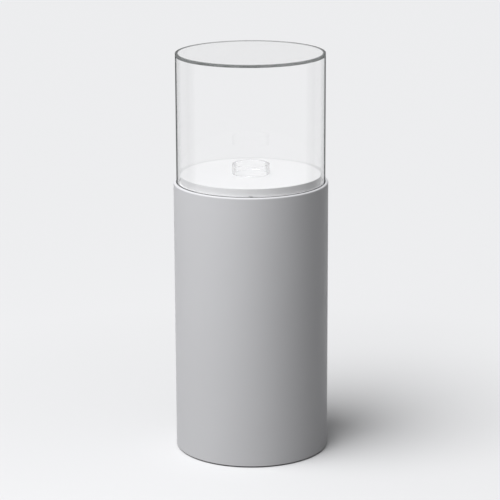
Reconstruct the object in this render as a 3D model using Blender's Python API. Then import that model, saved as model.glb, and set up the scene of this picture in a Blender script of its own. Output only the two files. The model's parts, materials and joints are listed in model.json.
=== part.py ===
"""Glass display pedestal: a grey round plinth, a white deck, and a clear lift-off cover.

Metres, +Z up, origin on the floor under the middle of the plinth, front towards -Y.
The plinth is a thin bent skin round boards and battens, with ballast and levelling feet.
The cover stands on a gasket in the groove between the skin's rim and the locating disc.
"""

import math

import bmesh
import bpy
from mathutils import Matrix, Vector

# Fits, shared by every piece
FIT_GAP = 0.0003  # between pieces that rest on, or sit in, each other
THREAD_CLEARANCE = 0.0002  # radial, between a stud and its threaded insert
CUT_OVERRUN = 0.002  # how far a cutter runs past the face it opens
MERGE_DISTANCE = 0.000001  # closer points are one point

# Plinth
DRUM_DIAMETER = 0.364
SKIN_THICKNESS = 0.006
RIM_HEIGHT = 0.650
FLOOR_GAP = 0.003  # shadow gap under the skin, at the feet's usual setting
RIM_EDGE = 0.003  # bevel on the rim's outer edge
SKIN_FOOT_EDGE = 0.0008
BASE_RECESS = 0.018  # from the skin's lower edge up to the base board
BASE_BOARD_THICKNESS = 0.018
CAP_THICKNESS = 0.018
LOCATING_DISC_THICKNESS = 0.010
FORMER_THICKNESS = 0.018
FORMER_WIDTH = 0.061  # of the ring, from the skin inward
FORMER_NAMES = ("lower_former", "upper_former")
BATTEN_NAMES = ("batten_right", "batten_rear", "batten_left", "batten_front")
BATTEN_WIDTH = 0.040
BATTEN_DEPTH = 0.022

# Cover
COVER_CLEARANCE = 0.001  # radial, from the tube out to the rim
COVER_WALL = 0.005
COVER_TUBE_LENGTH = 0.305
COVER_TOP_THICKNESS = 0.006
GLASS_EDGE = 0.0005  # polished bevel on every glass edge
GASKET_THICKNESS = 0.003
LOCATING_CLEARANCE = 0.0015  # radial, from the locating disc out to the tube

# Deck and what stands on it
DECK_THICKNESS = 0.018
DECK_MARGIN = 0.005  # radial, from the deck's side out to the tube
DECK_EDGE = 0.0005
DOWEL_COUNT = 3
DOWEL_DIAMETER = 0.008
DOWEL_INSET = 0.045  # from the deck's side in to the dowels' axes
DOWEL_PROUD = 0.010
DOWEL_TIP = 0.001  # bevel on each end
DOWEL_CLEARANCE = 0.0004
STAND_DIAMETER = 0.088
STAND_WALL = 0.005
STAND_HEIGHT = 0.023
STAND_SEAT = 0.002  # bevel inside the top edge, where a ball sits
STAND_EDGE = 0.0006

# Countersunk wood screws
SCREW_DIAMETER = 0.005
SCREW_HEAD_DIAMETER = 0.010
SCREW_TIP = 0.004
SCREW_CLEARANCE = 0.0003
CAP_SCREW_LENGTH = 0.060
BASE_SCREW_LENGTH = 0.045

# Ballast on the base board
BALLAST_COUNT = 2
BALLAST_INSET = 0.025  # from the feet's axes in to the plates' edge
BALLAST_THICKNESS = 0.010
BOLT_DIAMETER = 0.010
BOLT_HEAD_DIAMETER = 0.022
BOLT_HEAD_HEIGHT = 0.004
BOLT_HEAD_EDGE = 0.002
BOLT_TAIL = 0.004  # thread showing above the nut
WASHER_DIAMETER = 0.024
WASHER_THICKNESS = 0.002
NUT_ACROSS_CORNERS = 0.0196
NUT_HEIGHT = 0.008

# Levelling feet
FOOT_COUNT = 4
FOOT_INSET = 0.031  # from the skin in to the feet's axes
PAD_DIAMETER = 0.032
PAD_HEIGHT = 0.007
PAD_EDGE = 0.0012
PAD_SOCKET_DIAMETER = 0.0085
PAD_SOCKET_DEPTH = 0.004
STUD_DIAMETER = 0.008
STUD_LENGTH = 0.040
STUD_TIP = 0.001
COLLAR_ACROSS_CORNERS = 0.015
COLLAR_HEIGHT = 0.005
INSERT_WALL = 0.0022
INSERT_FLANGE_DIAMETER = 0.022
INSERT_FLANGE_THICKNESS = 0.0015
INSERT_STOP = 0.002  # how far the barrel ends below the board's top face

# Facets round a turn
FACETS_SHOWN = 96
FACETS_INSIDE = 64
FACETS_STAND = 64
FACETS_PAD = 32
FACETS_SMALL = 16
FACETS_HEX = 6
SMOOTH_ANGLE = math.radians(30)  # a sharper edge between facets is drawn as an edge

# Places that follow from the sizes above
drum_radius = DRUM_DIAMETER / 2
skin_inner_radius = drum_radius - SKIN_THICKNESS
board_radius = skin_inner_radius - FIT_GAP
foot_circle_radius = skin_inner_radius - FOOT_INSET
base_board_z = FLOOR_GAP + BASE_RECESS
base_board_top = base_board_z + BASE_BOARD_THICKNESS
locating_disc_z = RIM_HEIGHT - LOCATING_DISC_THICKNESS
cap_top = locating_disc_z - FIT_GAP
cap_z = cap_top - CAP_THICKNESS
batten_z = base_board_top + FIT_GAP
batten_top = cap_z - FIT_GAP
batten_outer_x = math.sqrt(board_radius**2 - (BATTEN_WIDTH / 2) ** 2) - FIT_GAP
batten_x = batten_outer_x - BATTEN_DEPTH / 2
cover_radius = skin_inner_radius - COVER_CLEARANCE
cover_inner_radius = cover_radius - COVER_WALL
locating_radius = cover_inner_radius - LOCATING_CLEARANCE
gasket_z = cap_top + FIT_GAP
tube_z = gasket_z + GASKET_THICKNESS + FIT_GAP
tube_top = tube_z + COVER_TUBE_LENGTH
deck_radius = cover_inner_radius - DECK_MARGIN
deck_z = RIM_HEIGHT + FIT_GAP
deck_top = deck_z + DECK_THICKNESS

# Colours as (red, green, blue), then roughness and metallic
FINISHES = {
    "grey_lacquer": ((0.68, 0.68, 0.70), 0.45, 0.0),
    "white_lacquer": ((0.85, 0.85, 0.86), 0.38, 0.0),
    "clear_glass": ((0.88, 0.92, 0.90), 0.02, 0.0),
    "clear_acrylic": ((0.92, 0.93, 0.93), 0.04, 0.0),
    "black_rubber": ((0.04, 0.04, 0.04), 0.80, 0.0),
    "fibreboard": ((0.44, 0.33, 0.22), 0.85, 0.0),
    "pine": ((0.70, 0.53, 0.34), 0.75, 0.0),
    "mild_steel": ((0.34, 0.34, 0.35), 0.45, 1.0),
    "zinc_plate": ((0.62, 0.62, 0.60), 0.35, 1.0),
    "black_nylon": ((0.05, 0.05, 0.05), 0.55, 0.0),
}


def clear_scene():
    for obj in list(bpy.data.objects):
        bpy.data.objects.remove(obj)


def finish(name):
    """The material of that name, made once."""
    found = bpy.data.materials.get(name)
    if found:
        return found
    colour, roughness, metallic = FINISHES[name]
    material = bpy.data.materials.new(name)
    material.use_nodes = True
    shader = material.node_tree.nodes["Principled BSDF"]
    shader.inputs["Base Color"].default_value = (*colour, 1)
    shader.inputs["Roughness"].default_value = roughness
    shader.inputs["Metallic"].default_value = metallic
    return material


def add_object(name, bm, material, smooth=True):
    """A new object from a bmesh, whose faces are turned to point out."""
    bmesh.ops.recalc_face_normals(bm, faces=bm.faces)
    mesh = bpy.data.meshes.new(name)
    bm.to_mesh(mesh)
    bm.free()
    if smooth:
        mesh.shade_smooth()
        mesh.set_sharp_from_angle(angle=SMOOTH_ANGLE)
    obj = bpy.data.objects.new(name, mesh)
    obj.data.materials.append(finish(material))
    bpy.context.scene.collection.objects.link(obj)
    return obj


def spun(profile, facets):
    """A bmesh turned about Z from a closed outline of (radius, height) points."""
    bm = bmesh.new()
    verts = [bm.verts.new((radius, 0, height)) for radius, height in profile]
    edges = [bm.edges.new(pair) for pair in zip(verts, verts[1:] + verts[:1])]
    on_axis = [e for e in edges if all(v.co.x == 0 for v in e.verts)]
    bmesh.ops.delete(bm, geom=on_axis, context="EDGES_FACES")
    kept = [e for e in edges if e.is_valid]
    bmesh.ops.spin(
        bm,
        geom=kept + bm.verts[:],
        axis=(0, 0, 1),
        cent=(0, 0, 0),
        steps=facets,
        angle=math.tau,
        use_merge=True,
    )
    bmesh.ops.remove_doubles(bm, verts=bm.verts, dist=MERGE_DISTANCE)
    bmesh.ops.dissolve_verts(bm, verts=[v for v in bm.verts if is_flat_hub(v)])
    return bm


def is_flat_hub(vert):
    """Whether it is the middle of a flat round end, which is then left as one face."""
    heights = [other.co.z for face in vert.link_faces for other in face.verts]
    return vert.co.xy.length < MERGE_DISTANCE and max(heights) - min(heights) < MERGE_DISTANCE


def turned(name, profile, facets, material, place=(0, 0, 0)):
    obj = add_object(name, spun(profile, facets), material)
    obj.location = place
    return obj


def ring_profile(inner, outer, low, high):
    return [(inner, low), (outer, low), (outer, high), (inner, high)]


def disc_profile(radius, low, high):
    return [(0, low), (radius, low), (radius, high), (0, high)]


def cutter_of(profile, facets, place):
    """A turned helper that only cuts others."""
    obj = add_object("cutter", spun(profile, facets), "fibreboard", smooth=False)
    obj.location = place
    return as_helper(obj)


def box_cutter(size, place, turn):
    bm = bmesh.new()
    bmesh.ops.create_cube(bm, size=1, matrix=Matrix.Diagonal((*size, 1)))
    obj = add_object("cutter", bm, "fibreboard", smooth=False)
    obj.location = place
    obj.rotation_euler.z = turn
    return as_helper(obj)


def as_helper(obj):
    obj.hide_render = True
    obj.display_type = "WIRE"
    return obj


def cut(obj, cutters):
    for cutter in cutters:
        modifier = obj.modifiers.new("cut", "BOOLEAN")
        modifier.operation = "DIFFERENCE"
        modifier.object = cutter


def round_places(count, radius, height, start=0.0):
    """Points evenly round the axis, the first at the angle start."""
    angles = [start + math.tau * i / count for i in range(count)]
    return [Vector((radius * math.cos(a), radius * math.sin(a), height)) for a in angles]


def batten_places(height):
    return round_places(len(BATTEN_NAMES), batten_x, height)


def foot_places(height):
    return round_places(FOOT_COUNT, foot_circle_radius, height, math.tau / (2 * FOOT_COUNT))


def dowel_places(height):
    return round_places(DOWEL_COUNT, deck_radius - DOWEL_INSET, height, math.tau / 4)


def screw_profile(length, clearance=0.0, overrun=0.0):
    """A countersunk screw, its head's face at zero and its tip below, or the hole that it takes."""
    shank = SCREW_DIAMETER / 2 + clearance
    head = SCREW_HEAD_DIAMETER / 2 + clearance
    cone = head - shank
    tip = SCREW_TIP if not clearance else 0.0
    profile = [(0, overrun), (head, overrun)] if overrun else [(0, 0)]
    profile += [(head, 0), (shank, -cone), (shank, tip - length - clearance)]
    if tip:
        profile += [(0, -length)]
    else:
        profile += [(0, -length - clearance)]
    return profile


def flipped(profile):
    return [(radius, -height) for radius, height in profile]


def make_skin():
    inner, outer = skin_inner_radius, drum_radius
    profile = [
        (inner, FLOOR_GAP),
        (outer - SKIN_FOOT_EDGE, FLOOR_GAP),
        (outer, FLOOR_GAP + SKIN_FOOT_EDGE),
        (outer, RIM_HEIGHT - RIM_EDGE),
        (outer - RIM_EDGE, RIM_HEIGHT),
        (inner, RIM_HEIGHT),
    ]
    turned("drum_skin", profile, FACETS_SHOWN, "grey_lacquer")


def make_base_board():
    board = turned(
        "base_board",
        disc_profile(board_radius, base_board_z, base_board_top),
        FACETS_INSIDE,
        "fibreboard",
    )
    low = base_board_z - CUT_OVERRUN
    high = base_board_top + CUT_OVERRUN
    barrel = STUD_DIAMETER / 2 + THREAD_CLEARANCE + INSERT_WALL + FIT_GAP
    bolt = BOLT_DIAMETER / 2 + FIT_GAP
    hole = flipped(screw_profile(BASE_SCREW_LENGTH, SCREW_CLEARANCE, CUT_OVERRUN))
    cutters = [cutter_of(disc_profile(barrel, low, high), FACETS_SMALL, p) for p in foot_places(0)]
    cutters += [cutter_of(hole, FACETS_SMALL, p) for p in batten_places(base_board_z)]
    cutters += [cutter_of(disc_profile(bolt, low, high), FACETS_SMALL, (0, 0, 0))]
    cut(board, cutters)


def make_cap():
    """The cap board, with the locating disc on it that leaves the cover's groove."""
    cap = turned("plinth_cap", disc_profile(board_radius, cap_z, cap_top), FACETS_SHOWN, "grey_lacquer")
    disc = turned(
        "locating_disc",
        disc_profile(locating_radius, locating_disc_z, RIM_HEIGHT),
        FACETS_SHOWN,
        "white_lacquer",
    )
    hole = screw_profile(CAP_SCREW_LENGTH, SCREW_CLEARANCE, CUT_OVERRUN)
    cut(cap, [cutter_of(hole, FACETS_SMALL, p) for p in batten_places(RIM_HEIGHT)])
    cut(disc, [cutter_of(hole, FACETS_SMALL, p) for p in batten_places(RIM_HEIGHT)])
    bore = DOWEL_DIAMETER / 2 + DOWEL_CLEARANCE
    through = disc_profile(bore, -CUT_OVERRUN, LOCATING_DISC_THICKNESS + CUT_OVERRUN)
    cut(disc, [cutter_of(through, FACETS_SMALL, p) for p in dowel_places(locating_disc_z)])


def make_formers():
    """Rings that hold the skin round, notched for the battens, at even heights between the boards."""
    room = cap_z - base_board_top
    notch = (
        BATTEN_DEPTH + 2 * FIT_GAP + CUT_OVERRUN,
        BATTEN_WIDTH + 2 * FIT_GAP,
        FORMER_THICKNESS + 2 * CUT_OVERRUN,
    )
    reach = batten_x + CUT_OVERRUN / 2
    for i, name in enumerate(FORMER_NAMES):
        middle = base_board_top + room * (i + 1) / (len(FORMER_NAMES) + 1)
        low = middle - FORMER_THICKNESS / 2
        profile = ring_profile(board_radius - FORMER_WIDTH, board_radius, low, low + FORMER_THICKNESS)
        former = turned(name, profile, FACETS_INSIDE, "fibreboard")
        places = round_places(len(BATTEN_NAMES), reach, middle)
        cut(former, [box_cutter(notch, p, math.atan2(p.y, p.x)) for p in places])


def make_battens():
    length = batten_top - batten_z
    size = (BATTEN_DEPTH, BATTEN_WIDTH, length)
    middle = batten_z + length / 2
    top_hole = screw_profile(CAP_SCREW_LENGTH, SCREW_CLEARANCE, CUT_OVERRUN)
    low_hole = flipped(screw_profile(BASE_SCREW_LENGTH, SCREW_CLEARANCE, CUT_OVERRUN))
    for name, place in zip(BATTEN_NAMES, batten_places(middle)):
        bm = bmesh.new()
        bmesh.ops.create_cube(bm, size=1, matrix=Matrix.Diagonal((*size, 1)))
        batten = add_object(name, bm, "pine", smooth=False)
        batten.location = place
        batten.rotation_euler.z = math.atan2(place.y, place.x)
        top = (place.x, place.y, RIM_HEIGHT)
        low = (place.x, place.y, base_board_z)
        cut(batten, [cutter_of(top_hole, FACETS_SMALL, top), cutter_of(low_hole, FACETS_SMALL, low)])


def make_screws():
    down = screw_profile(CAP_SCREW_LENGTH)
    up = flipped(screw_profile(BASE_SCREW_LENGTH))
    for i, place in enumerate(batten_places(RIM_HEIGHT)):
        turned(f"cap_screw_{i + 1}", down, FACETS_SMALL, "zinc_plate", place)
    for i, place in enumerate(batten_places(base_board_z)):
        turned(f"base_screw_{i + 1}", up, FACETS_SMALL, "zinc_plate", place)


def make_ballast():
    """Steel plates on the base board, held by one bolt, its washer and its nut."""
    bore = BOLT_DIAMETER / 2 + FIT_GAP
    low = base_board_top + FIT_GAP
    for i in range(BALLAST_COUNT):
        profile = ring_profile(bore, foot_circle_radius - BALLAST_INSET, low, low + BALLAST_THICKNESS)
        turned(f"ballast_plate_{i + 1}", profile, FACETS_INSIDE, "mild_steel")
        low += BALLAST_THICKNESS + FIT_GAP
    washer = ring_profile(bore, WASHER_DIAMETER / 2, low, low + WASHER_THICKNESS)
    turned("ballast_washer", washer, FACETS_PAD, "zinc_plate")
    low += WASHER_THICKNESS + FIT_GAP
    turned("ballast_nut", hexagon_profile(NUT_ACROSS_CORNERS, low, NUT_HEIGHT), FACETS_HEX, "zinc_plate")
    bore_cut = disc_profile(bore, low - CUT_OVERRUN, low + NUT_HEIGHT + CUT_OVERRUN)
    cut(bpy.data.objects["ballast_nut"], [cutter_of(bore_cut, FACETS_SMALL, (0, 0, 0))])
    bolt_top = low + NUT_HEIGHT + BOLT_TAIL
    head_top = base_board_z - FIT_GAP
    head_low = head_top - BOLT_HEAD_HEIGHT
    bolt = [
        (0, head_low),
        (BOLT_HEAD_DIAMETER / 2 - BOLT_HEAD_EDGE, head_low),
        (BOLT_HEAD_DIAMETER / 2, head_low + BOLT_HEAD_EDGE),
        (BOLT_HEAD_DIAMETER / 2, head_top),
        (BOLT_DIAMETER / 2, head_top),
        (BOLT_DIAMETER / 2, bolt_top - DOWEL_TIP),
        (BOLT_DIAMETER / 2 - DOWEL_TIP, bolt_top),
        (0, bolt_top),
    ]
    turned("ballast_bolt", bolt, FACETS_SMALL, "zinc_plate")


def hexagon_profile(across_corners, low, height):
    return disc_profile(across_corners / 2, low, low + height)


def make_feet():
    """A foot is a pad on the floor, a stud that turns in it, and the stud's threaded insert."""
    socket = PAD_SOCKET_DIAMETER / 2
    socket_z = PAD_HEIGHT - PAD_SOCKET_DEPTH
    pad = [
        (0, 0),
        (PAD_DIAMETER / 2 - PAD_EDGE, 0),
        (PAD_DIAMETER / 2, PAD_EDGE),
        (PAD_DIAMETER / 2, PAD_HEIGHT - PAD_EDGE),
        (PAD_DIAMETER / 2 - PAD_EDGE, PAD_HEIGHT),
        (socket, PAD_HEIGHT),
        (socket, socket_z),
        (0, socket_z),
    ]
    shank = STUD_DIAMETER / 2
    pivot = socket - FIT_GAP
    collar_z = PAD_HEIGHT + FIT_GAP
    collar_top = collar_z + COLLAR_HEIGHT
    stud_top = collar_top + STUD_LENGTH
    stud = [
        (0, socket_z + FIT_GAP),
        (pivot, socket_z + FIT_GAP),
        (pivot, collar_z + CUT_OVERRUN),
        (shank, collar_z + CUT_OVERRUN),
        (shank, stud_top - STUD_TIP),
        (shank - STUD_TIP, stud_top),
        (0, stud_top),
    ]
    bore = shank + THREAD_CLEARANCE
    barrel = bore + INSERT_WALL
    flange_top = base_board_z - FIT_GAP
    insert = [
        (bore, flange_top - INSERT_FLANGE_THICKNESS),
        (INSERT_FLANGE_DIAMETER / 2, flange_top - INSERT_FLANGE_THICKNESS),
        (INSERT_FLANGE_DIAMETER / 2, flange_top),
        (barrel, flange_top),
        (barrel, base_board_top - INSERT_STOP),
        (bore, base_board_top - INSERT_STOP),
    ]
    for i, place in enumerate(foot_places(0)):
        turned(f"foot_pad_{i + 1}", pad, FACETS_PAD, "black_nylon", place)
        turned(f"foot_insert_{i + 1}", insert, FACETS_PAD, "zinc_plate", place)
        collar = spun(hexagon_profile(COLLAR_ACROSS_CORNERS, collar_z, COLLAR_HEIGHT), FACETS_HEX)
        helper = as_helper(add_object("collar", collar, "zinc_plate", smooth=False))
        helper.location = place
        foot = turned(f"foot_stud_{i + 1}", stud, FACETS_SMALL, "zinc_plate", place)
        joined = foot.modifiers.new("collar", "BOOLEAN")
        joined.operation = "UNION"
        joined.object = helper


def make_gasket():
    profile = ring_profile(
        locating_radius + FIT_GAP,
        board_radius,
        gasket_z,
        gasket_z + GASKET_THICKNESS,
    )
    turned("seat_gasket", profile, FACETS_SHOWN, "black_rubber")


def make_deck():
    """The white deck, which lifts off the dowels that stand in the locating disc."""
    profile = [
        (0, deck_z),
        (deck_radius - DECK_EDGE, deck_z),
        (deck_radius, deck_z + DECK_EDGE),
        (deck_radius, deck_top - DECK_EDGE),
        (deck_radius - DECK_EDGE, deck_top),
        (0, deck_top),
    ]
    deck = turned("display_deck", profile, FACETS_SHOWN, "white_lacquer")
    bore = DOWEL_DIAMETER / 2 + DOWEL_CLEARANCE
    blind = disc_profile(bore, -CUT_OVERRUN, DOWEL_PROUD + DOWEL_CLEARANCE)
    cut(deck, [cutter_of(blind, FACETS_SMALL, p) for p in dowel_places(deck_z)])
    low = cap_top + FIT_GAP
    high = RIM_HEIGHT + DOWEL_PROUD
    radius = DOWEL_DIAMETER / 2
    dowel = [
        (0, low),
        (radius - DOWEL_TIP, low),
        (radius, low + DOWEL_TIP),
        (radius, high - DOWEL_TIP),
        (radius - DOWEL_TIP, high),
        (0, high),
    ]
    for i, place in enumerate(dowel_places(0)):
        turned(f"deck_dowel_{i + 1}", dowel, FACETS_SMALL, "pine", place)


def make_ball_stand():
    low = deck_top + FIT_GAP
    high = low + STAND_HEIGHT
    outer = STAND_DIAMETER / 2
    inner = outer - STAND_WALL
    profile = [
        (inner, low + STAND_EDGE),
        (inner + STAND_EDGE, low),
        (outer - STAND_EDGE, low),
        (outer, low + STAND_EDGE),
        (outer, high - STAND_EDGE),
        (outer - STAND_EDGE, high),
        (inner + STAND_SEAT, high),
        (inner, high - STAND_SEAT),
    ]
    turned("ball_stand", profile, FACETS_STAND, "clear_acrylic")


def make_cover():
    """The glass tube, and the glass disc that is bonded on its upper end."""
    inner, outer = cover_inner_radius, cover_radius
    tube = [
        (inner, tube_z + GLASS_EDGE),
        (inner + GLASS_EDGE, tube_z),
        (outer - GLASS_EDGE, tube_z),
        (outer, tube_z + GLASS_EDGE),
        (outer, tube_top),
        (inner, tube_top),
    ]
    turned("cover_tube", tube, FACETS_SHOWN, "clear_glass")
    low = tube_top + FIT_GAP
    high = low + COVER_TOP_THICKNESS
    top = [
        (0, low),
        (outer, low),
        (outer, high - GLASS_EDGE),
        (outer - GLASS_EDGE, high),
        (0, high),
    ]
    turned("cover_top", top, FACETS_SHOWN, "clear_glass")


def main():
    clear_scene()
    make_skin()
    make_base_board()
    make_cap()
    make_formers()
    make_battens()
    make_screws()
    make_ballast()
    make_feet()
    make_gasket()
    make_deck()
    make_ball_stand()
    make_cover()


main()
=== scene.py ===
"""The looks of the glass display pedestal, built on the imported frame.

Metres, +Z up, front towards -Y. The turned pieces that show are made again here with fine
facets and rounded edges, in the places that the frame gives. Every hidden piece keeps its
own mesh and gets the material of its slot.
"""

import json
import math

import bmesh
import bpy
from mathutils import Matrix, Vector

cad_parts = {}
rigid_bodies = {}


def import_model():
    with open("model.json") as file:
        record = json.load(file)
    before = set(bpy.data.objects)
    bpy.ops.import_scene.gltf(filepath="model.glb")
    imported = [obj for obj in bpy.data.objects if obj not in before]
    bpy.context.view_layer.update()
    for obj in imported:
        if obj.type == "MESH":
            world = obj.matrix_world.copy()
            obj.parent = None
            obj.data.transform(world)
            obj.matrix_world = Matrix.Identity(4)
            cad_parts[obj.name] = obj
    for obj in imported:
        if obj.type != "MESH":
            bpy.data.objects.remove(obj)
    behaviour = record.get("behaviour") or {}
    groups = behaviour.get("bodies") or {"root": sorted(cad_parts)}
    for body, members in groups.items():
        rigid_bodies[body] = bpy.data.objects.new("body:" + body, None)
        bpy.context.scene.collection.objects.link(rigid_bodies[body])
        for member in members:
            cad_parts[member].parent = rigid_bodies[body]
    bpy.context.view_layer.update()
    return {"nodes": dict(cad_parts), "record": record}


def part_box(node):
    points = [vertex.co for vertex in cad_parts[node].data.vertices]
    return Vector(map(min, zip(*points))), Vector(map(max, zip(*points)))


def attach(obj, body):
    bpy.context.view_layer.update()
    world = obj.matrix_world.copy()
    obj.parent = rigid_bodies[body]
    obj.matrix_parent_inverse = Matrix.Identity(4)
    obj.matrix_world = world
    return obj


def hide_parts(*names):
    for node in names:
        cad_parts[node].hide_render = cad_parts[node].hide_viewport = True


MM = 0.001

# Camera, fitted to the photograph. Its angles are in radians.
IMAGE_SIDE = 500  # pixels
SENSOR_WIDTH = 36.0  # millimetres
FOCAL_PIXELS = 2166
CAMERA_DISTANCE = 4.971
CAMERA_HEIGHT = 1.786
CAMERA_PITCH = 0.2567
CAMERA_ROLL = -0.0042
AXIS_RIGHT_OF_CENTRE = 1.2  # pixels

# Light. Its angles are in degrees, up from level and to the left of the line from axis to camera.
SUN_LEFT = 51
SUN_UP = 62
SUN_SPREAD = 48
SUN_IRRADIANCE = 1.01  # on a face turned to it, in watts a square metre over pi
SOFTBOX_LEFT = 25
SOFTBOX_DISTANCE = 1.2
SOFTBOX_HEIGHT = 1.25
SOFTBOX_SIDE = 0.6
SOFTBOX_WATTS = 3.6
SOFTBOX_AIM = 0.6  # height on the axis
WORLD_LIGHT = (0.22, 0.22, 0.22)  # on the object
BACKGROUND = (0.850, 0.853, 0.862)  # for the eye
FLOOR_SEEN = (0.759, 0.762, 0.773)
# painted shade: the floor's colour is darker close to the object
FLOOR_NEAR_PAINTED_SHADE = 0.93  # share of the floor's colour that is left close to the object
FLOOR_NEAR_RADIUS = 0.3
FLOOR_FAR_RADIUS = 1.2
FLOOR_BOUNCE = (0.13, 0.13, 0.13)  # what lights the object from below
FLOOR_SIDE = 60.0
FLOOR_CELLS = 8

# Facets round a turn, and round an edge
TURN_FACETS = 256
EDGE_FACETS = 5
SMOOTH_ANGLE = math.radians(28)
SIDEWAYS = 0.7  # a face whose normal's height is less looks sideways
LEVEL = 0.99  # a face whose normal's height is more looks straight up or down
EDGE_REACH = 0.001  # how far a face may be from the radius that it is picked by

# Rounded edges of the turned pieces
RIM_ROUND = 3.5 * MM
RIM_INNER_ROUND = RIM_ROUND / 4
SKIN_FOOT_ROUND = 0.8 * MM
DECK_ROUND = 0.8 * MM
GLASS_ARRIS = 0.6 * MM
TUBE_END_ARRIS = GLASS_ARRIS / 3
DISC_ARRIS = 0.8 * MM
STAND_ROUND = 0.6 * MM
STAND_SEAT_ROUND = 1.8 * MM
WALL = 5 * MM  # of the cover's tube, and of the ring stand

# Clear materials
GLASS_IOR = 1.5
ACRYLIC_IOR = 1.49
CAUGHT_BOUNCES = 2.5  # mirrored more often than this, light gets out
# painted shade on the tube's ends, which darkens the band seen over them
TUBE_END_PAINTED_SHADE = (0.50, 0.51, 0.505)
TUBE_SHADOW_TINT = (0.953, 0.955, 0.955)
MARGIN = 6 * MM  # of the disc's faces, over the tube's end
MARGIN_FADE = 0.5 * MM
# painted shade on the disc's faces over the tube's end
MARGIN_PAINTED_SHADE = (0.50, 0.51, 0.507)
DISC_FACE_TINT = (0.985, 0.985, 0.985)
# painted shade: the little that the disc's side mirrors
DISC_SIDE_MIRROR_PAINTED_SHADE = (0.12, 0.125, 0.123)
DISC_SHADOW_TINT = (0.960, 0.962, 0.962)
DISC_VOLUME_TINT = (0.15, 0.17, 0.16)
DISC_VOLUME_DENSITY = 3.0
STAND_SHADOW_TINT = (0.93, 0.93, 0.935)

# Lacquers, each as its colour, roughness, height of the orange peel and gloss
GREY_LACQUER = ((0.685, 0.687, 0.707), 0.45, 0.012 * MM, 0.22)
WHITE_LACQUER = ((0.850, 0.850, 0.862), 0.38, 0.010 * MM, 0.40)
LACQUER_WAVES = 0.02 * MM


def clear_scene():
    for obj in list(bpy.data.objects):
        bpy.data.objects.remove(obj)


# Meshes


def add_object(name, data):
    """A new object in the scene that carries the data."""
    obj = bpy.data.objects.new(name, data)
    bpy.context.scene.collection.objects.link(obj)
    return obj


def add_mesh(name, bm):
    mesh = bpy.data.meshes.new(name)
    bm.to_mesh(mesh)
    bm.free()
    return add_object(name, mesh)


def rounded(corners):
    """The outline through (radius, height, rounding) corners, each rounding worked out as an arc."""
    outline = []
    count = len(corners)
    for i, (radius, height, rounding) in enumerate(corners):
        here = Vector((radius, height))
        if rounding == 0:
            outline.append(here)
            continue
        before = Vector(corners[i - 1][:2]) - here
        after = Vector(corners[(i + 1) % count][:2]) - here
        before.normalize()
        after.normalize()
        half = before.angle(after) / 2
        centre = here + (before + after).normalized() * rounding / math.sin(half)
        start = here + before * rounding / math.tan(half) - centre
        end = here + after * rounding / math.tan(half) - centre
        sweep = start.angle_signed(end)
        for step in range(EDGE_FACETS + 1):
            turn = Matrix.Rotation(-sweep * step / EDGE_FACETS, 2)
            outline.append(centre + turn @ start)
    return outline


def turned(name, corners):
    """A piece turned about Z from its outline. A corner on the axis closes a flat end."""
    angles = [math.tau * k / TURN_FACETS for k in range(TURN_FACETS)]
    bm = bmesh.new()
    rings = []
    for point in rounded(corners):
        if point.x == 0:
            rings.append([bm.verts.new((0, 0, point.y))])
            continue
        spots = [(point.x * math.cos(a), point.x * math.sin(a), point.y) for a in angles]
        rings.append([bm.verts.new(spot) for spot in spots])
    for low, high in zip(rings, rings[1:] + rings[:1]):
        if len(low) == 1 and len(high) == 1:
            continue
        for k in range(TURN_FACETS):
            after = (k + 1) % TURN_FACETS
            below = [low[k % len(low)], low[after % len(low)]]
            above = [high[after % len(high)], high[k % len(high)]]
            bm.faces.new(dict.fromkeys(below + above))
    bmesh.ops.recalc_face_normals(bm, faces=bm.faces)
    obj = add_mesh(name, bm)
    obj.data.shade_smooth()
    obj.data.set_sharp_from_angle(angle=SMOOTH_ANGLE)
    flats = obj.modifiers.new("flats", "WEIGHTED_NORMAL")
    flats.weight = 100  # the largest faces decide the normals
    flats.keep_sharp = True
    return obj


def edged(obj, material, radius):
    """Gives the faces that look sideways, at one radius, a material of their own."""
    obj.data.materials.append(material)
    for face in obj.data.polygons:
        if abs(face.normal.z) < SIDEWAYS and abs(face.center.xy.length - radius) < EDGE_REACH:
            face.material_index = 1


def place(obj, body, material, node):
    """Puts a piece on its body, in the place of the node."""
    obj.data.materials.append(material)
    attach(obj, body)
    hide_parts(node)


def span(node):
    """A turned node's outer radius, lowest and highest point."""
    low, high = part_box(node)
    return high[0], low[2], high[2]


# Materials


class Tree:
    """A node tree, with short calls for what the materials and the world share."""

    def __init__(self, owner):
        owner.use_nodes = True
        self.nodes = owner.node_tree.nodes
        self.links = owner.node_tree.links

    def node(self, kind, **settings):
        made = self.nodes.new(kind)
        for key, value in settings.items():
            setattr(made, key, value)
        return made

    def link(self, source, target):
        self.links.new(source, target)

    def mix(self, factor, first, second):
        """From the first colour to the second. Either is a constant or a node's output."""
        made = self.node("ShaderNodeMix", data_type="RGBA")
        self.link(factor, made.inputs["Factor"])
        for value, socket in ((first, made.inputs[6]), (second, made.inputs[7])):
            if isinstance(value, tuple):
                socket.default_value = (*value, 1)
            else:
                self.link(value, socket)
        return made.outputs[2]

    def larger(self, first, second):
        made = self.node("ShaderNodeMath", operation="MAXIMUM")
        self.link(first, made.inputs[0])
        self.link(second, made.inputs[1])
        return made.outputs[0]

    def above(self, source, limit):
        """One where the source is more than the limit, nothing elsewhere."""
        made = self.node("ShaderNodeMath", operation="GREATER_THAN")
        self.link(source, made.inputs[0])
        made.inputs[1].default_value = limit
        return made.outputs[0]


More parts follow.
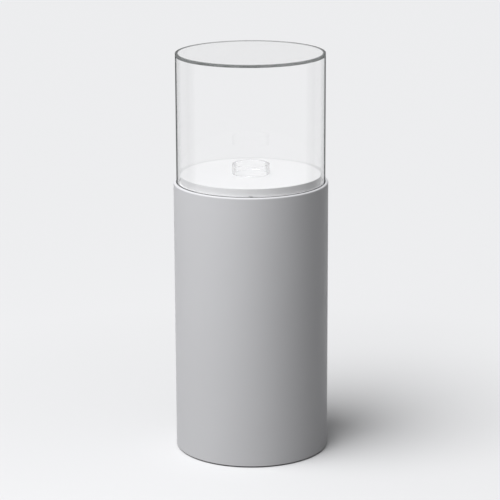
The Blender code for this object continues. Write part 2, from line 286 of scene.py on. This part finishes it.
class Shader(Tree):
    """A material's node tree, with the nodes that its surface is made from."""

    def __init__(self, name):
        self.material = bpy.data.materials.new(name)
        super().__init__(self.material)
        self.surface = self.nodes["Principled BSDF"]
        self.output = self.nodes["Material Output"]

    def set(self, **sockets):
        for key, value in sockets.items():
            self.surface.inputs[key.replace("_", " ")].default_value = value

    def coords(self, scale=(1, 1, 1)):
        """Object coordinates, which are metres in the row frame, stretched by scale."""
        source = self.node("ShaderNodeTexCoord")
        mapping = self.node("ShaderNodeMapping")
        mapping.inputs["Scale"].default_value = scale
        self.link(source.outputs["Object"], mapping.inputs["Vector"])
        return mapping.outputs["Vector"]

    def from_axis(self):
        """How far the shaded point is from the upright axis."""
        made = self.node("ShaderNodeVectorMath", operation="LENGTH")
        self.link(self.coords((1, 1, 0)), made.inputs[0])
        return made.outputs["Value"]

    def noise(self, scale, detail=3.0, roughness=0.5, stretch=(1, 1, 1)):
        made = self.node("ShaderNodeTexNoise")
        made.inputs["Scale"].default_value = scale
        made.inputs["Detail"].default_value = detail
        made.inputs["Roughness"].default_value = roughness
        self.link(self.coords(stretch), made.inputs["Vector"])
        return made.outputs["Fac"]

    def ramp(self, factor, stops):
        """A colour or grey ramp over (position, colour) stops."""
        made = self.node("ShaderNodeValToRGB")
        ramp = made.color_ramp
        ramp.elements[0].position = stops[0][0]
        ramp.elements[1].position = stops[-1][0]
        for position, _ in stops[1:-1]:
            ramp.elements.new(position)
        for element, (_, colour) in zip(ramp.elements, stops):
            element.color = (*colour, 1)
        self.link(factor, made.inputs["Fac"])
        return made.outputs["Color"]

    def range(self, factor, low, high, from_low=0.0, from_high=1.0):
        made = self.node("ShaderNodeMapRange")
        made.inputs["From Min"].default_value = from_low
        made.inputs["From Max"].default_value = from_high
        made.inputs["To Min"].default_value = low
        made.inputs["To Max"].default_value = high
        self.link(factor, made.inputs["Value"])
        return made.outputs["Result"]

    def bump(self, height, distance, under=None):
        made = self.node("ShaderNodeBump")
        made.inputs["Distance"].default_value = distance
        self.link(height, made.inputs["Height"])
        if under:
            self.link(under, made.inputs["Normal"])
        return made.outputs["Normal"]

    def colour(self, source):
        self.link(source, self.surface.inputs["Base Color"])

    def rough(self, source):
        self.link(source, self.surface.inputs["Roughness"])

    def normal(self, source):
        self.link(source, self.surface.inputs["Normal"])


def tinted(colour, share):
    return tuple(c * share for c in colour)


def lacquer(name, colour, roughness, peel, gloss):
    """Sprayed satin lacquer: a faint cloudiness, fine orange peel and a slightly uneven gloss."""
    shader = Shader(name)
    shader.set(Specular_IOR_Level=gloss)
    clouds = shader.noise(5.0, detail=4.0)
    shader.colour(shader.ramp(clouds, [(0.3, tinted(colour, 0.985)), (0.7, tinted(colour, 1.012))]))
    shader.rough(shader.range(shader.noise(38.0), roughness - 0.04, roughness + 0.05, 0.3, 0.7))
    peel_height = shader.noise(700.0, detail=2.0)
    waves = shader.noise(60.0, detail=2.0)
    under = shader.bump(waves, LACQUER_WAVES)
    shader.normal(shader.bump(peel_height, peel, under=under))
    return shader.material


def seen_through(shader, surface, tint):
    """Lets light and bounced light straight through the clear piece, so that what it covers is lit.

    Light that is caught between two faces gets out at last, as it does through the arrises.
    """
    path = shader.node("ShaderNodeLightPath")
    lit = shader.larger(path.outputs["Is Shadow Ray"], path.outputs["Is Diffuse Ray"])
    caught = shader.above(path.outputs["Glossy Depth"], CAUGHT_BOUNCES)
    clear = shader.node("ShaderNodeBsdfTransparent")
    clear.inputs["Color"].default_value = (*tint, 1)
    mixed = shader.node("ShaderNodeMixShader")
    shader.link(shader.larger(lit, caught), mixed.inputs["Fac"])
    shader.link(surface, mixed.inputs[1])
    shader.link(clear.outputs[0], mixed.inputs[2])
    shader.link(mixed.outputs[0], shader.output.inputs["Surface"])


def absorbing(shader, colour, density):
    """Darkens light along its way through the piece."""
    volume = shader.node("ShaderNodeVolumeAbsorption")
    volume.inputs["Color"].default_value = (*colour, 1)
    volume.inputs["Density"].default_value = density
    shader.link(volume.outputs[0], shader.output.inputs["Volume"])


def glass_surface(shader, passed, mirrored, normal=None):
    """Glass whose bent light takes the colour passed, and its mirrored light the colour mirrored."""
    bent = shader.node("ShaderNodeBsdfRefraction")
    bent.inputs["IOR"].default_value = GLASS_IOR
    bent.inputs["Roughness"].default_value = 0.0
    mirror = shader.node("ShaderNodeBsdfGlossy")
    mirror.inputs["Roughness"].default_value = 0.0
    share = shader.node("ShaderNodeFresnel")
    share.inputs["IOR"].default_value = GLASS_IOR
    shader.link(passed, bent.inputs["Color"])
    shader.link(mirrored, mirror.inputs["Color"])
    if normal:
        for made in (bent, mirror, share):
            shader.link(normal, made.inputs["Normal"])
    mixed = shader.node("ShaderNodeMixShader")
    shader.link(share.outputs[0], mixed.inputs["Fac"])
    shader.link(bent.outputs[0], mixed.inputs[1])
    shader.link(mirror.outputs[0], mixed.inputs[2])
    return mixed.outputs[0]


def facing(shader):
    """Nothing where the surface is seen head on, one where it is seen edge on."""
    weight = shader.node("ShaderNodeLayerWeight")
    weight.inputs["Blend"].default_value = 0.5
    return weight.outputs["Facing"]


def level_faces(shader):
    """One on the faces that look straight up or down, nothing on the others."""
    geometry = shader.node("ShaderNodeNewGeometry")
    split = shader.node("ShaderNodeSeparateXYZ")
    shader.link(geometry.outputs["True Normal"], split.inputs[0])
    upright = shader.node("ShaderNodeMath", operation="ABSOLUTE")
    shader.link(split.outputs["Z"], upright.inputs[0])
    return shader.above(upright.outputs[0], LEVEL)


def tube_glass():
    """Drawn glass tube, whose sides read as thin dark lines of painted shade: its colour darkens
    where it is seen edge on.
    """
    shader = Shader("clear_glass_tube")
    # painted shade: the glass passes and mirrors darker where it is seen edge on
    edge = shader.ramp(
        facing(shader),
        [
            (0.33, (1.0, 1.0, 1.0)),
            (0.37, (0.965, 0.965, 0.965)),
            (0.46, (0.925, 0.925, 0.925)),
            (0.54, (0.95, 0.95, 0.95)),
            (0.76, (0.925, 0.925, 0.925)),
            (0.84, (0.20, 0.205, 0.205)),
            (1.0, (0.03, 0.031, 0.031)),
        ],
    )
    waves = shader.bump(shader.noise(9.0, detail=1.0, stretch=(1, 1, 0.15)), 0.05 * MM)
    # painted shade on the tube's ends, and on its sides where they are seen edge on
    tint = shader.mix(level_faces(shader), edge, TUBE_END_PAINTED_SHADE)
    surface = glass_surface(shader, tint, tint, waves)
    seen_through(shader, surface, TUBE_SHADOW_TINT)
    return shader.material


def bore_glass():
    """The inner face of the tube, with a weaker painted shade where it is seen edge on."""
    shader = Shader("clear_glass_bore")
    # painted shade: darker where the bore is seen edge on
    edge = shader.ramp(facing(shader), [(0.7, (1.0, 1.0, 1.0)), (1.0, (0.70, 0.71, 0.71))])
    surface = glass_surface(shader, edge, edge)
    seen_through(shader, surface, TUBE_SHADOW_TINT)
    return shader.material


def disc_glass(margin):
    """Float glass, with a polished side that has faint marks of the wheel round it and that passes
    and mirrors darker: partly the glass's own edge tint, partly painted shade.

    Outside the margin's radius, where the tube is bonded to it, its faces pass and mirror less: this
    is painted shade, which darkens the band that the disc shows there.
    """
    shader = Shader("clear_glass_disc")
    marks = shader.noise(40.0, detail=3.0, stretch=(1, 1, 12))
    # the side passes darker: partly the glass's edge tint, partly painted shade
    side = shader.ramp(marks, [(0.35, (0.36, 0.37, 0.367)), (0.65, (0.58, 0.59, 0.587))])
    painted_margin_shade = shader.range(shader.from_axis(), 0, 1, margin - MARGIN_FADE, margin)
    face = shader.mix(painted_margin_shade, DISC_FACE_TINT, MARGIN_PAINTED_SHADE)
    level = level_faces(shader)
    passed = shader.mix(level, side, face)
    mirrored = shader.mix(level, DISC_SIDE_MIRROR_PAINTED_SHADE, face)
    surface = glass_surface(shader, passed, mirrored)
    absorbing(shader, DISC_VOLUME_TINT, DISC_VOLUME_DENSITY)
    seen_through(shader, surface, DISC_SHADOW_TINT)
    return shader.material


def clear_acrylic():
    """Turned acrylic ring, with painted shade where it is seen edge on."""
    shader = Shader("clear_acrylic")
    shader.set(Roughness=0.02, IOR=ACRYLIC_IOR, Transmission_Weight=1.0)
    # painted shade where the ring is seen edge on
    shader.colour(shader.ramp(facing(shader), [(0.42, (1.0, 1.0, 1.0)), (0.9, (0.38, 0.38, 0.39))]))
    shader.normal(shader.bump(shader.noise(120.0, detail=2.0), 0.02 * MM))
    seen_through(shader, shader.surface.outputs["BSDF"], STAND_SHADOW_TINT)
    return shader.material


def painted_shade_edge():
    """The routed edge of a board, painted dark as the shade at the glass's foot, with its fibres
    showing through.
    """
    shader = Shader("painted_shade_edge")
    fibres = shader.noise(1100.0, detail=4.0, roughness=0.7, stretch=(1, 1, 0.3))
    shader.colour(shader.ramp(fibres, [(0.35, (0.12, 0.12, 0.122)), (0.65, (0.20, 0.20, 0.202))]))
    shader.rough(shader.range(fibres, 0.60, 0.80))
    shader.normal(shader.bump(fibres, 0.05 * MM))
    return shader.material


def rubber():
    shader = Shader("black_rubber")
    grain = shader.noise(900.0)
    shader.colour(shader.ramp(grain, [(0.3, (0.020, 0.020, 0.021)), (0.7, (0.040, 0.040, 0.041))]))
    shader.rough(shader.range(grain, 0.68, 0.86))
    shader.normal(shader.bump(grain, 0.05 * MM))
    return shader.material


def fibreboard():
    """Raw medium-density board: fine speckle over faint clouds."""
    shader = Shader("fibreboard")
    speckle = shader.noise(1400.0, detail=4.0, roughness=0.7)
    clouds = shader.noise(14.0)
    pale = shader.mix(clouds, (0.50, 0.36, 0.23), (0.43, 0.30, 0.19))
    dark = shader.mix(clouds, (0.34, 0.23, 0.14), (0.30, 0.20, 0.12))
    shader.colour(shader.mix(shader.range(speckle, 0, 1, 0.35, 0.65), pale, dark))
    shader.rough(shader.range(speckle, 0.80, 0.95))
    shader.normal(shader.bump(speckle, 0.06 * MM))
    return shader.material


def pine():
    """Planed pine with its grain along Z."""
    shader = Shader("pine")
    grain = shader.noise(160.0, detail=5.0, roughness=0.6, stretch=(1, 1, 0.03))
    fibres = shader.noise(900.0, detail=3.0, stretch=(1, 1, 0.02))
    wood = shader.ramp(
        grain,
        [
            (0.30, (0.72, 0.52, 0.31)),
            (0.52, (0.66, 0.46, 0.26)),
            (0.62, (0.50, 0.31, 0.15)),
            (0.75, (0.70, 0.50, 0.30)),
        ],
    )
    shader.colour(shader.mix(shader.range(fibres, 0, 0.35), wood, (0.46, 0.30, 0.16)))
    shader.rough(shader.range(fibres, 0.62, 0.80))
    shader.normal(shader.bump(fibres, 0.05 * MM))
    return shader.material


def mild_steel():
    """Hot-rolled plate: blue-grey scale, with brown bloom here and there."""
    shader = Shader("mild_steel")
    scale = shader.noise(24.0, detail=6.0, roughness=0.65)
    bloom = shader.noise(60.0, detail=5.0)
    plate = shader.ramp(scale, [(0.3, (0.10, 0.105, 0.115)), (0.7, (0.22, 0.225, 0.235))])
    shader.colour(shader.mix(shader.range(bloom, 0, 0.6, 0.58, 0.72), plate, (0.20, 0.10, 0.05)))
    shader.set(Metallic=0.85)
    shader.rough(shader.range(scale, 0.42, 0.66))
    shader.normal(shader.bump(scale, 0.04 * MM))
    return shader.material


def zinc_plate():
    """Bright zinc with turning marks round Z and small dull spots."""
    shader = Shader("zinc_plate")
    marks = shader.noise(500.0, detail=2.0, stretch=(0.05, 0.05, 3))
    spots = shader.noise(180.0, detail=4.0)
    shader.colour(shader.ramp(spots, [(0.35, (0.50, 0.51, 0.50)), (0.65, (0.68, 0.68, 0.66))]))
    shader.set(Metallic=1.0)
    shader.rough(shader.range(spots, 0.24, 0.44))
    shader.normal(shader.bump(marks, 0.03 * MM))
    return shader.material


def black_nylon():
    shader = Shader("black_nylon")
    grain = shader.noise(650.0, detail=3.0)
    shader.colour(shader.ramp(grain, [(0.3, (0.018, 0.018, 0.019)), (0.7, (0.032, 0.032, 0.033))]))
    shader.rough(shader.range(grain, 0.45, 0.60))
    shader.normal(shader.bump(grain, 0.03 * MM))
    return shader.material


# Pieces


def make_plinth(grey):
    """The bent skin with its rounded rim."""
    outer, low, high = span("drum_skin")
    inner = span("plinth_cap")[0]
    corners = [
        (inner, low, 0),
        (outer, low, SKIN_FOOT_ROUND),
        (outer, high, RIM_ROUND),
        (inner, high, RIM_INNER_ROUND),
    ]
    place(turned("plinth_skin", corners), "plinth", grey, "drum_skin")


def make_deck(white):
    """The white board that the ring stands on."""
    outer, low, high = span("display_deck")
    corners = [(0, low, 0), (outer, low, DECK_ROUND), (outer, high, DECK_ROUND), (0, high, 0)]
    place(turned("white_deck", corners), "deck", white, "display_deck")


def make_cover(glass):
    """The tube, with its own material on the bore, and the disc that closes it."""
    outer, low, high = span("cover_tube")
    inner = outer - WALL
    tube = [
        (inner, low, GLASS_ARRIS),
        (outer, low, GLASS_ARRIS),
        (outer, high, TUBE_END_ARRIS),
        (inner, high, TUBE_END_ARRIS),
    ]
    sleeve = turned("glass_tube", tube)
    place(sleeve, "cover", glass, "cover_tube")
    edged(sleeve, bore_glass(), inner)
    outer, low, high = span("cover_top")
    top = [(0, low, 0), (outer, low, DISC_ARRIS), (outer, high, DISC_ARRIS), (0, high, 0)]
    place(turned("glass_top", top), "cover", disc_glass(outer - MARGIN), "cover_top")


def make_stand(acrylic):
    """The clear ring, whose inner top edge is rounded further, as a seat."""
    outer, low, high = span("ball_stand")
    inner = outer - WALL
    corners = [
        (inner, low, STAND_ROUND),
        (outer, low, STAND_ROUND),
        (outer, high, STAND_ROUND),
        (inner, high, STAND_SEAT_ROUND),
    ]
    place(turned("ring_stand", corners), "stand", acrylic, "ball_stand")


def dress_nodes(frame, materials):
    """Gives each CAD node that still shows the material of its slot."""
    for subpart in frame["record"]["subparts"]:
        node = frame["nodes"][subpart["node"]]
        node.data.materials.clear()
        node.data.materials.append(materials[subpart["material_slot"]])
    # The locating disc's side gets painted shade, for the dark line at the glass's foot.
    edged(frame["nodes"]["locating_disc"], painted_shade_edge(), span("locating_disc")[0])


# Stage


def pick_by_ray(tree, for_eye, for_bounce):
    """One colour for what the eye sees, also mirrored or through glass, another for bounced light."""
    path = tree.node("ShaderNodeLightPath")
    seen = tree.larger(path.outputs["Is Camera Ray"], path.outputs["Is Glossy Ray"])
    seen = tree.larger(seen, path.outputs["Is Transmission Ray"])
    return tree.mix(seen, for_bounce, for_eye)


def make_floor():
    """A pale floor with painted shade that makes it a little darker round the object, and which keeps
    its shadow.
    """
    bm = bmesh.new()
    bmesh.ops.create_grid(bm, x_segments=FLOOR_CELLS, y_segments=FLOOR_CELLS, size=FLOOR_SIDE / 2)
    floor = add_mesh("floor", bm)
    shader = Shader("floor")
    shader.set(Roughness=1.0, Specular_IOR_Level=0.0)
    far = shader.range(shader.from_axis(), 0, 1, FLOOR_NEAR_RADIUS, FLOOR_FAR_RADIUS)
    # painted shade round the object
    seen = shader.mix(far, tinted(FLOOR_SEEN, FLOOR_NEAR_PAINTED_SHADE), FLOOR_SEEN)
    shader.colour(pick_by_ray(shader, seen, FLOOR_BOUNCE))
    floor.data.materials.append(shader.material)


def make_world():
    """A pale backdrop for the eye, and a weaker even light for the object."""
    world = bpy.data.worlds.new("studio")
    bpy.context.scene.world = world
    tree = Tree(world)
    background = tree.nodes["Background"]
    tree.link(pick_by_ray(tree, BACKGROUND, WORLD_LIGHT), background.inputs["Color"])
    background.inputs["Strength"].default_value = 1.0


def make_sun():
    """A broad, soft source far off, like a large window."""
    light = bpy.data.lights.new("key", "SUN")
    light.energy = SUN_IRRADIANCE * math.pi
    light.angle = math.radians(SUN_SPREAD)
    lamp = add_object("key", light)
    turn = math.radians(SUN_LEFT)
    rise = math.radians(SUN_UP)
    level = math.cos(rise)
    towards = Vector((-math.sin(turn) * level, -math.cos(turn) * level, math.sin(rise)))
    lamp.rotation_euler = towards.to_track_quat("Z", "Y").to_euler()
    lamp.visible_glossy = False


def make_softbox():
    """A square lamp close by, which lights the upper half more than the lower."""
    light = bpy.data.lights.new("softbox", "AREA")
    light.energy = SOFTBOX_WATTS
    light.size = SOFTBOX_SIDE
    box = add_object("softbox", light)
    turn = math.radians(SOFTBOX_LEFT)
    away = Vector((-math.sin(turn), -math.cos(turn), 0)) * SOFTBOX_DISTANCE
    box.location = away + Vector((0, 0, SOFTBOX_HEIGHT))
    aim = box.location - Vector((0, 0, SOFTBOX_AIM))
    box.rotation_euler = aim.to_track_quat("Z", "Y").to_euler()
    box.visible_camera = False
    box.visible_glossy = False
    box.visible_transmission = False


def make_camera():
    camera = add_object("camera", bpy.data.cameras.new("camera"))
    camera.data.sensor_width = SENSOR_WIDTH
    camera.data.lens = FOCAL_PIXELS / IMAGE_SIDE * SENSOR_WIDTH
    yaw = math.atan(AXIS_RIGHT_OF_CENTRE / FOCAL_PIXELS)
    turn = Matrix.Rotation(yaw, 4, "Z")
    tilt = Matrix.Rotation(math.pi / 2 - CAMERA_PITCH, 4, "X")
    roll = Matrix.Rotation(CAMERA_ROLL, 4, "Z")
    spot = Matrix.Translation((0, -CAMERA_DISTANCE, CAMERA_HEIGHT))
    camera.matrix_world = spot @ turn @ tilt @ roll
    bpy.context.scene.camera = camera


def main():
    clear_scene()
    bpy.context.scene.view_settings.view_transform = "Standard"
    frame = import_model()
    materials = {
        "grey_lacquer": lacquer("grey_lacquer", *GREY_LACQUER),
        "white_lacquer": lacquer("white_lacquer", *WHITE_LACQUER),
        "clear_glass": tube_glass(),
        "clear_acrylic": clear_acrylic(),
        "black_rubber": rubber(),
        "fibreboard": fibreboard(),
        "pine": pine(),
        "mild_steel": mild_steel(),
        "zinc_plate": zinc_plate(),
        "black_nylon": black_nylon(),
    }
    dress_nodes(frame, materials)
    make_plinth(materials["grey_lacquer"])
    make_deck(materials["white_lacquer"])
    make_stand(materials["clear_acrylic"])
    make_cover(materials["clear_glass"])
    make_floor()
    make_world()
    make_sun()
    make_softbox()
    make_camera()


main()
